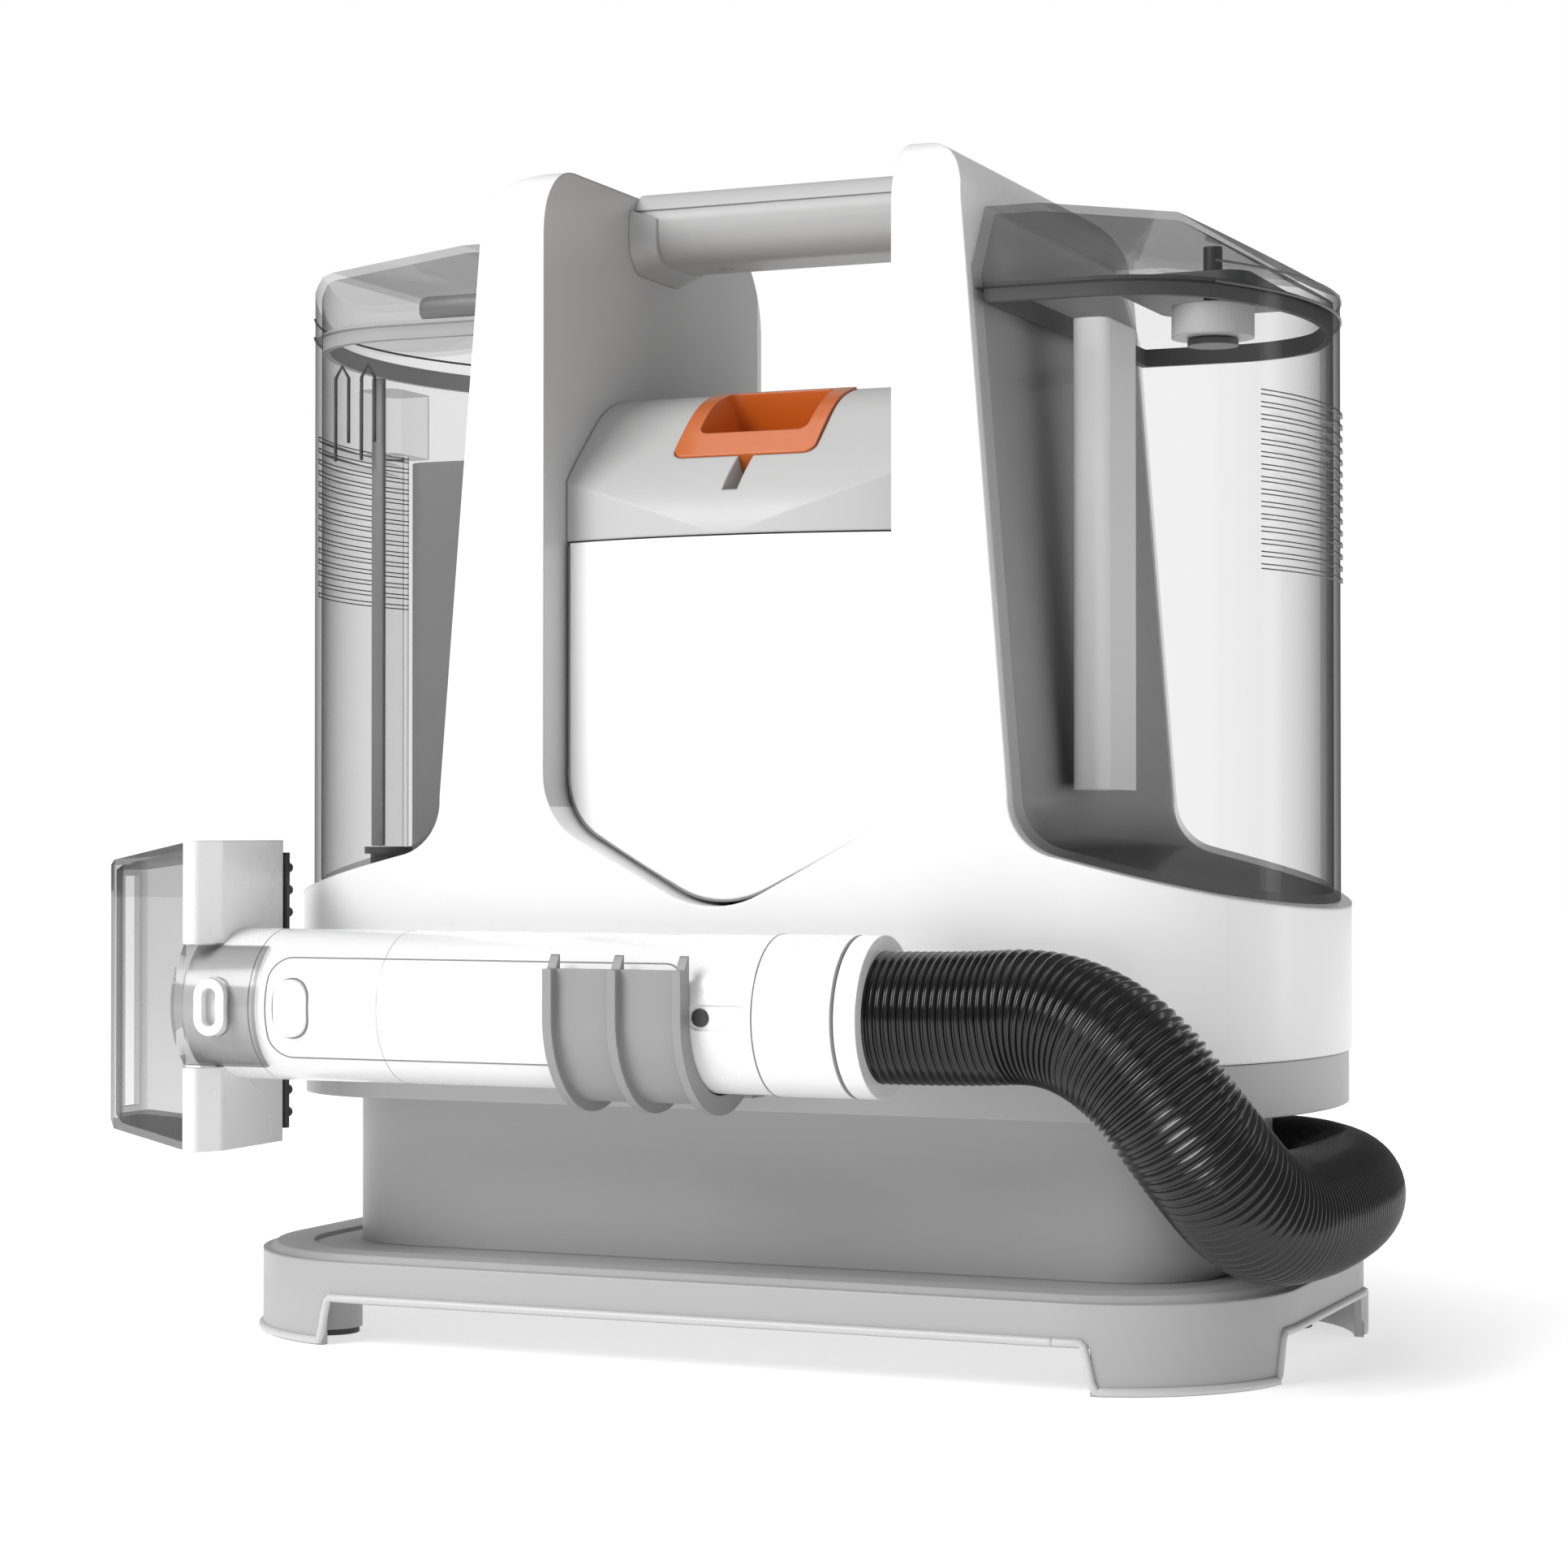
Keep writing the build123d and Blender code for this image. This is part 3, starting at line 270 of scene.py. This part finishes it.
def brushed_metal(name, colour):
    finish = Finish(name, 0.35, metallic=1.0)
    streak = finish.noise(60.0, 4.0, 0.6, (1, 1, 30))
    finish.set("Base Color", finish.blend_colours(streak, (*(c * 0.85 for c in colour), 1), (*colour, 1)))
    finish.set("Roughness", 0.28 + 0.2 * streak)
    finish.set("Normal", finish.bump(streak, 0.05, 0.0002, finish.soft_edges(0.0004)))
    return finish.material


def board_green():
    finish = Finish("board_green", 0.4)
    track = finish.node(
        "ShaderNodeTexVoronoi", {"feature": "DISTANCE_TO_EDGE"}, {"Vector": finish.place(), "Scale": 160.0}
    )
    line = track < 0.06
    finish.set("Base Color", finish.blend_colours(line, (0.01, 0.12, 0.05, 1), (0.1, 0.35, 0.15, 1)))
    finish.set("Roughness", 0.35 + 0.15 * finish.noise(80.0))
    finish.set("Normal", finish.bump(track, 0.1, 0.0002))
    return finish.material


def hose_gloss():
    """Glossy black hose wall, with fine dust over it."""
    finish = Finish("hose_gloss", 0.2)
    dust = finish.noise(120.0, 5.0, 0.65)
    finish.set("Base Color", finish.blend_colours(dust, shade(0.003), shade(0.009)))
    finish.set("Roughness", 0.12 + 0.16 * dust)
    finish.set("Normal", finish.bump(finish.noise(260.0, 3.0), 0.08, 0.0003))
    finish.set("Coat Weight", 0.15)
    finish.set("Coat Roughness", 0.08)
    finish.set("Specular IOR Level", 0.4)
    return finish.material


finishes = {
    "white": moulded("gloss_white", (0.82, 0.82, 0.82), 0.28, 0.02, variation=0.02, edge=0.0007, coat=0.25),
    "housing": housing_white(),
    "panel": moulded("panel_white", (0.86, 0.86, 0.86), 0.4, 0.05, 1100.0, variation=0.02),
    "cap": moulded("cap_grey", (0.46, 0.46, 0.46), 0.45, 0.12, 800.0, 0.0012),
    "plinth": moulded("plinth_grey", (0.43, 0.43, 0.43), 0.42, 0.05, 1000.0, 0.0012),
    # painted shade: the handle's lower half gets a darker grey than its upper half, which uses the cap grey, for
    # the shade under the handle
    "handle": moulded("handle_underside_painted_shade", (0.38, 0.38, 0.38), 0.42, 0.08, 900.0, 0.0012),
    "skirt": moulded("skirt_grey", (0.46, 0.46, 0.46), 0.42, 0.05, 1000.0, 0.001),
    "tub": moulded("tub_grey", (0.42, 0.42, 0.42), 0.45, 0.06, 900.0, 0.0012),
    "cradle": moulded("cradle_grey", (0.28, 0.28, 0.28), 0.42, 0.06, 900.0, 0.0007),
    "orange": moulded("button_orange", (0.55, 0.12, 0.014), 0.25, 0.02, variation=0.06, edge=0.0008, coat=0.5),
    "dark": moulded("dark_plastic", (0.045, 0.045, 0.047), 0.45, 0.06, variation=0.15),
    "seal": moulded("seal_rubber", (0.05, 0.05, 0.05), 0.6, 0.1, 700.0, 0.0004, 0.2),
    "steel": brushed_metal("zinc_steel", (0.62, 0.62, 0.6)),
    "board": board_green(),
    "hose": hose_gloss(),
    "clear": see_through("clear_moulding", 0.95, 0.25, 3.6),
    "smoke": see_through("smoked_moulding", 0.98, 0.05, 3.6),
    "nozzle": see_through("nozzle_moulding", 0.88, 0.05, 1.8),
    "lid_smoke": see_through("lid_moulding", 0.96, 0.12, 3.4),
    "lid_clear": see_through("clear_lid_moulding", 0.975, 0.2, 3.2),
    "chamber": moulded("chamber_grey", (0.18, 0.18, 0.18), 0.4, 0.03, variation=0.1),
    "pale_seal": moulded("pale_seal", (0.42, 0.42, 0.42), 0.55, 0.08, 700.0, 0.0004, 0.1),
    "riser": moulded("riser_grey", (0.75, 0.75, 0.75), 0.25, 0.03, variation=0.1),
    "line": moulded("line_shade", (0.06, 0.06, 0.06), 0.35, 0.03, variation=0.1, edge=0.0002),
    "mark": moulded("mark_orange", (0.58, 0.12, 0.015), 0.3, 0.02, edge=0.0003),
    "seam": moulded("seam_shade", (0.2, 0.2, 0.2), 0.5, 0.03, edge=0.0001),
    "rim": moulded("rim_grey", (0.6, 0.6, 0.6), 0.35, 0.03, edge=0.0004),
}

node_finish = {
    "plinth": "plinth", "rubber_feet": "seal", "hose_channel": "tub", "lower_skirt": "skirt", "housing": "housing",
    "rear_cover": "white", "cover_screws": "steel", "front_panel": "panel", "top_cap": "cap",
    "button_spring": "steel", "power_switch": "dark", "handle_upper": "cap", "handle_lower": "handle",
    "handle_screws": "steel", "wand_cradle": "cradle", "vacuum_motor": "steel", "fan_housing": "dark",
    "exhaust_filter": "dark", "water_pump": "dark", "control_board": "board", "valve_seat": "tub",
    "cord_gland": "seal", "hose_elbow": "tub", "power_button": "orange", "clean_tank": "clear",
    "clean_valve": "dark", "pickup_tube": "clear", "clean_lid": "lid_clear", "clean_seal": "pale_seal",
    "recovery_tank": "smoke", "recovery_riser": "riser", "recovery_lid": "lid_smoke", "recovery_seal": "seal",
    "float_guide": "dark", "recovery_float": "tub", "impeller": "tub", "wand_tube": "white",
    "wand_inlay": "white", "wand_cuff": "white", "head_shell": "white", "brush_block": "dark",
    "brush_nubs": "seal", "spray_button": "white", "swivel_pin": "dark", "nozzle_cover": "nozzle",
    "dosing_chamber": "chamber", "head_latch": "white",
}
for node, finish_name in node_finish.items():
    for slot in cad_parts[node].material_slots:
        slot.material = finishes[finish_name]


# ---------------------------------------------------------------- making pieces
def new_piece(name, mesh, finish_name, body):
    """A finished piece: its mesh, its material and the body that it rides on."""
    piece = bpy.data.objects.new(name, mesh)
    bpy.context.collection.objects.link(piece)
    mesh.materials.clear()
    mesh.materials.append(finishes[finish_name])
    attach(piece, body)
    return piece


def smooth(mesh):
    for face in mesh.polygons:
        face.use_smooth = True
    return mesh


def tube_mesh(name, path, radii, sides=48):
    """A round tube through points, with its own radius at each point and no twist along its length."""
    mesh = bmesh.new()
    forward = (path[1] - path[0]).normalized()
    across = forward.orthogonal().normalized()
    rings = []
    for step, (point, radius) in enumerate(zip(path, radii)):
        ahead = (path[min(step + 1, len(path) - 1)] - path[max(step - 1, 0)]).normalized()
        across = forward.rotation_difference(ahead) @ across
        forward = ahead
        up = forward.cross(across).normalized()
        rings.append([
            mesh.verts.new(point + radius * (math.cos(turn) * across + math.sin(turn) * up))
            for turn in (2 * math.pi * side / sides for side in range(sides))
        ])
    for low, high in zip(rings, rings[1:]):
        for side in range(sides):
            after = (side + 1) % sides
            mesh.faces.new((low[side], low[after], high[after], high[side]))
    mesh.faces.new(rings[0][::-1])
    mesh.faces.new(rings[-1])
    mesh.normal_update()
    data = bpy.data.meshes.new(name)
    mesh.to_mesh(data)
    mesh.free()
    return smooth(data)


def spline_points(name, points, resolution=24):
    """Points along the NURBS curve that has these control points."""
    curve = bpy.data.curves.new(name, "CURVE")
    curve.dimensions = "3D"
    curve.resolution_u = resolution
    spline = curve.splines.new("NURBS")
    spline.points.add(len(points) - 1)
    for control, point in zip(spline.points, points):
        control.co = (*point, 1)
    spline.order_u = 3
    spline.use_endpoint_u = True
    line = bpy.data.objects.new(name, curve)
    bpy.context.collection.objects.link(line)
    bpy.context.view_layer.update()
    mesh = bpy.data.meshes.new_from_object(line)
    found = [vertex.co.copy() for vertex in mesh.vertices]
    bpy.data.objects.remove(line)
    bpy.data.meshes.remove(mesh)
    return found


def even_points(points, spacing):
    """The same line, with points at an even spacing."""
    lengths = [0.0]
    for before, after in zip(points, points[1:]):
        lengths.append(lengths[-1] + (after - before).length)
    count = max(2, round(lengths[-1] / spacing))
    found, place = [], 0
    for step in range(count + 1):
        target = lengths[-1] * step / count
        while place < len(points) - 2 and lengths[place + 1] < target:
            place += 1
        share = (target - lengths[place]) / max(lengths[place + 1] - lengths[place], 1e-9)
        found.append(points[place].lerp(points[place + 1], min(max(share, 0), 1)))
    return found


# ---------------------------------------------------------------- suction hose
hose_route = [
    (0.070, -0.109, 0.110), (0.096, -0.109, 0.110), (0.124, -0.111, 0.112), (0.149, -0.117, 0.100),
    (0.166, -0.113, 0.076), (0.177, -0.090, 0.053), (0.181, -0.050, 0.050), (0.181, -0.006, 0.051),
    (0.172, 0.038, 0.050), (0.148, 0.072, 0.0505), (0.108, 0.082, 0.0495), (0.060, 0.080, 0.050),
    (0.010, 0.082, 0.0495), (-0.040, 0.080, 0.050), (-0.090, 0.082, 0.0495), (-0.140, 0.091, 0.050),
    (-0.177, 0.105, 0.072), (-0.187, 0.114, 0.112), (-0.171, 0.120, 0.150), (-0.132, 0.124, 0.170),
    (-0.088, 0.125, 0.170), (-0.044, 0.1235, 0.166), (-0.002, 0.124, 0.168), (0.027, 0.124, 0.168),
]
hose_radius, rib_pitch, rib_depth, steps_per_rib = 0.01975, 0.0025, 0.0014, 6
hose_line = even_points(
    spline_points("hose_line", [machine + Vector(point) for point in hose_route]), rib_pitch / steps_per_rib
)
rib_radii = [
    hose_radius - rib_depth * (0.5 - 0.5 * math.cos(2 * math.pi * step / steps_per_rib)) ** 1.4
    for step in range(len(hose_line))
]
hose = bpy.data.objects.new("suction_hose", tube_mesh("suction_hose", hose_line, rib_radii))
bpy.context.collection.objects.link(hose)
hose.data.materials.append(finishes["hose"])
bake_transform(hose)
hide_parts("hose")
[tuple(point) for point in hose_line[::12]] + [tuple(hose_line[-1])]


# ---------------------------------------------------------------- moulded details
def place_in(points):
    return [machine + Vector(point) for point in points]


def bead(name, points, radius, finish_name, body, sides=10):
    """A thin round bead along points given in the machine's own frame."""
    line = place_in(points)
    return new_piece(name, tube_mesh(name, line, [radius] * len(line), sides), finish_name, body)


def moulded_block(name, low, high, rounding, finish_name, body):
    """A block between two corners of the machine's own frame, with rounded edges."""
    size, middle = Vector(high) - Vector(low), (Vector(low) + Vector(high)) / 2
    mesh = bmesh.new()
    bmesh.ops.create_cube(mesh, size=1.0)
    bmesh.ops.scale(mesh, vec=size, verts=mesh.verts)
    bmesh.ops.translate(mesh, vec=machine + middle, verts=mesh.verts)
    bmesh.ops.bevel(mesh, geom=mesh.edges[:], offset=rounding, segments=3, profile=0.5, affect="EDGES")
    data = bpy.data.meshes.new(name)
    mesh.to_mesh(data)
    mesh.free()
    return new_piece(name, smooth(data), finish_name, body)


# the bead along the plinth's lower edge and round its arches
half_x, half_y, corner = 0.1763, 0.0973, 0.0583
arch_half_x, arch_half_y, arch_top, foot_edge, arch_round = 0.1285, 0.0525, 0.0155, 0.0015, 0.004


def plinth_edge():
    """Points once round the plinth's wall: its plan, with the height of its lower edge."""
    plan = []
    for side in range(4):
        turn = math.radians(90 * side)
        sign_x, sign_y = ((1, -1), (1, 1), (-1, 1), (-1, -1))[side]
        centre = (sign_x * (half_x - corner), sign_y * (half_y - corner))
        for step in range(17):
            swing = turn - math.pi / 2 + math.pi / 2 * step / 16
            plan.append((centre[0] + corner * math.cos(swing), centre[1] + corner * math.sin(swing)))
    points = []
    for (x, y), (next_x, next_y) in zip(plan, plan[1:] + plan[:1]):
        count = max(1, round(math.hypot(next_x - x, next_y - y) / 0.0012))
        for step in range(count):
            here_x, here_y = x + (next_x - x) * step / count, y + (next_y - y) * step / count
            inside = max(arch_half_x - abs(here_x), arch_half_y - abs(here_y))
            rise = min(max(inside / arch_round + 0.5, 0.0), 1.0)
            rise = rise * rise * (3 - 2 * rise)
            points.append((here_x, here_y, foot_edge + (arch_top - foot_edge) * rise))
    return points + points[:1]


bead("plinth_bead", plinth_edge(), 0.0013, "rim", "machine", 8)

# outlines of the moulded ribs on both tanks
crease_x, crease_y, bow_peak, bow_y = 0.1595, -0.057, 0.177, 0.0105
chord, sag = bow_y - crease_y, bow_peak - crease_x
bow_radius = (chord * chord + sag * sag) / (2 * sag)
bow_x = bow_peak - bow_radius
tank_inset, line_lift = 0.0035, 0.0006
rib_wall = bow_radius - tank_inset + line_lift
rib_front, rib_back, rib_low, rib_height, rib_step = -0.038, 0.036, 0.245, 0.0014, 0.0038
for side, tank, slot_name in ((1, "recovery_tank", "smoke"), (-1, "clean_tank", "clear")):
    for count in range(15):
        base = rib_low + rib_step * count
        for edge in (base, base + rib_height):
            loop = []
            for step in range(13):
                y = rib_front + (rib_back - rib_front) * step / 12
                loop.append((side * (bow_x + math.sqrt(rib_wall ** 2 - (y - bow_y) ** 2)), y, edge))
            bead(f"{tank}_rib_line_{count}_{round(edge * 10000)}", loop, 0.00022, "line", tank, 5)

# raised rings on the power button's scoop
button_middle, button_up = Vector((0, -0.0335, 0.2955)), Vector((0, -0.55, 0.835)).normalized()
button_across, button_along = Vector((1, 0, 0)), Vector((0, 0.835, 0.55)).normalized()
scoop_depth, ring_shift = 0.0088, 0.003
for count, (wide, deep) in enumerate(((0.0095, 0.0042), (0.0035, 0.0026))):
    loop = []
    for step in range(37):
        turn = 2 * math.pi * step / 36
        loop.append(
            button_middle + button_up * -scoop_depth + button_across * (wide * math.cos(turn))
            + button_along * (ring_shift + deep * math.sin(turn))
        )
    bead(f"button_ring_{count}", loop, 0.0004, "mark", "power_button", 8)

# two dark lines along the bowed end of each lid: where it meets its tank, and at its shoulder
lid_inset, lid_half_depth, lid_foot, lid_shoulder = 0.0034, 0.0665, 0.3305, 0.3368
edge_line = []
for step in range(41):
    reach = (-1 + 2 * step / 40) * lid_half_depth
    edge_line.append((bow_x + math.sqrt((bow_radius - lid_inset) ** 2 - reach ** 2), bow_y + reach))
for side, tank, slot_name in ((1, "recovery_lid", "smoke"), (-1, "clean_lid", "clear")):
    for line, (height, thickness) in enumerate(((lid_foot, 0.0005), (lid_shoulder, 0.0004))):
        loop = [(side * x, y, height) for x, y in edge_line]
        bead(f"{tank}_edge_{line}", loop, thickness, "line", tank, 6)

# seam lines of the wand: round the inlay panel, the spray button, the latch and the cuff
wand_y, wand_z, wand_radius = -0.109, 0.110, 0.024


def round_rect(low, high, corner):
    """Points once round a rectangle with rounded corners."""
    found = []
    for quarter, (x, z) in enumerate(
        ((high[0] - corner, high[1] - corner), (low[0] + corner, high[1] - corner),
         (low[0] + corner, low[1] + corner), (high[0] - corner, low[1] + corner))
    ):
        for step in range(9):
            turn = math.pi / 2 * (quarter + step / 8)
            found.append((x + corner * math.cos(turn), z + corner * math.sin(turn)))
    return found + found[:1]


def on_wand(outline, radius):
    """An outline seen from the front, laid on the wand's round surface."""
    found = []
    for (x, z), (next_x, next_z) in zip(outline, outline[1:]):
        count = max(1, round(math.hypot(next_x - x, next_z - z) / 0.002))
        for step in range(count):
            there_x, there_z = x + (next_x - x) * step / count, z + (next_z - z) * step / count
            found.append((there_x, wand_y - math.sqrt(radius ** 2 - (there_z - wand_z) ** 2), there_z))
    return found + found[:1]


def ring(x, radius):
    """Points once round the wand, at a place along it."""
    turns = [2 * math.pi * step / 64 for step in range(65)]
    return [(x, wand_y + radius * math.cos(turn), wand_z + radius * math.sin(turn)) for turn in turns]


bead("inlay_seam", on_wand(round_rect((-0.128, 0.0945), (0.014, 0.1255), 0.0068), wand_radius - 0.0001),
     0.0003, "seam", "wand", 8)
bead("spray_seam", on_wand(round_rect((-0.1252, 0.1008), (-0.1128, 0.1192), 0.0061), wand_radius),
     0.00032, "seam", "wand", 8)
cuff_seams = ((0.0372, 0.0241, 0.00035), (0.0622, 0.0237, 0.0006), (-0.0885, 0.02395, 0.00012))
for count, (x, radius, thickness) in enumerate(cuff_seams):
    bead(f"cuff_seam_{count}", ring(x, radius), thickness, "seam", "wand", 8)

# the shadow line round the front panel
half, panel_top, corner_z, tip_z, corner_round, tip_round = 0.0579, 0.257, 0.1698, 0.1388, 0.022, 0.032
panel_front, seam_lift, bulge_radius = -0.070, 0.00012, 0.207
slope = math.atan2(corner_z - tip_z, half)
panel = [(half, panel_top)]
side_reach = corner_round * math.tan((math.pi / 2 - slope) / 2)
for step in range(13):
    turn = (math.pi / 2 - slope) * step / 12
    panel.append((
        half - corner_round + corner_round * math.cos(turn), corner_z + side_reach - corner_round * math.sin(turn)
    ))
tip_centre = tip_z + tip_round / math.cos(slope)
for step in range(13):
    turn = slope * (1 - step / 12)
    panel.append((tip_round * math.sin(turn), tip_centre - tip_round * math.cos(turn)))
panel = panel + [(-x, z) for x, z in panel[-2::-1]]
panel_line = [
    (x, panel_front - seam_lift + bulge_radius - math.sqrt(bulge_radius ** 2 - x ** 2), z) for x, z in panel
]
bead("panel_seam", panel_line, 0.0004, "seam", "machine", 8)

# the clean tank's divider plate and its two clips, and the lid's pad
moulded_block(
    "divider_plate", (-0.1425, -0.042, 0.160), (-0.1378, -0.040, 0.318), 0.0006, "chamber", "clean_tank"
)
for clip, x in enumerate((-0.1515, -0.1415)):
    bead(
        f"clip_{clip}",
        [(x - 0.0025, -0.046, 0.29), (x - 0.0025, -0.046, 0.318), (x, -0.046, 0.322), (x + 0.0025, -0.046, 0.318),
         (x + 0.0025, -0.046, 0.296)], 0.0006, "line", "clean_tank", 8,
    )
moulded_block("lid_pad", (-0.132, -0.030, 0.3385), (-0.098, 0.03, 0.347), 0.003, "chamber", "clean_lid")


# ---------------------------------------------------------------- floor
def floor_white():
    finish = Finish("floor_white", 0.9)
    cloud = finish.noise(3.0)
    finish.set("Base Color", finish.blend_colours(cloud, shade(0.66), shade(0.68)))
    finish.set("Normal", finish.bump(finish.noise(200.0), 0.02, 0.0005))
    # painted light: the floor glows, dim grey within 0.2 m of its middle and near white beyond 0.42 m, which
    # washes out shadows cast away from the machine
    away = finish.node("ShaderNodeVectorMath", {"operation": "LENGTH"}, {0: finish.place()}, output="Value")
    painted_glow_reach = finish.node("ShaderNodeMapRange", inputs={"Value": away, "From Min": 0.2, "From Max": 0.42})
    finish.set("Emission Color", finish.blend_colours(painted_glow_reach, shade(0.56), shade(0.95)))
    finish.set("Emission Strength", 1.0)
    return finish.material


floor_mesh = bpy.data.meshes.new("floor")
floor_half = 6.0
floor_mesh.from_pydata(
    [(-floor_half, -floor_half, 0), (floor_half, -floor_half, 0), (floor_half, floor_half, 0),
     (-floor_half, floor_half, 0)], [], [(0, 1, 2, 3)]
)
floor_mesh.materials.append(floor_white())
floor = bpy.data.objects.new("floor", floor_mesh)
bpy.context.collection.objects.link(floor)
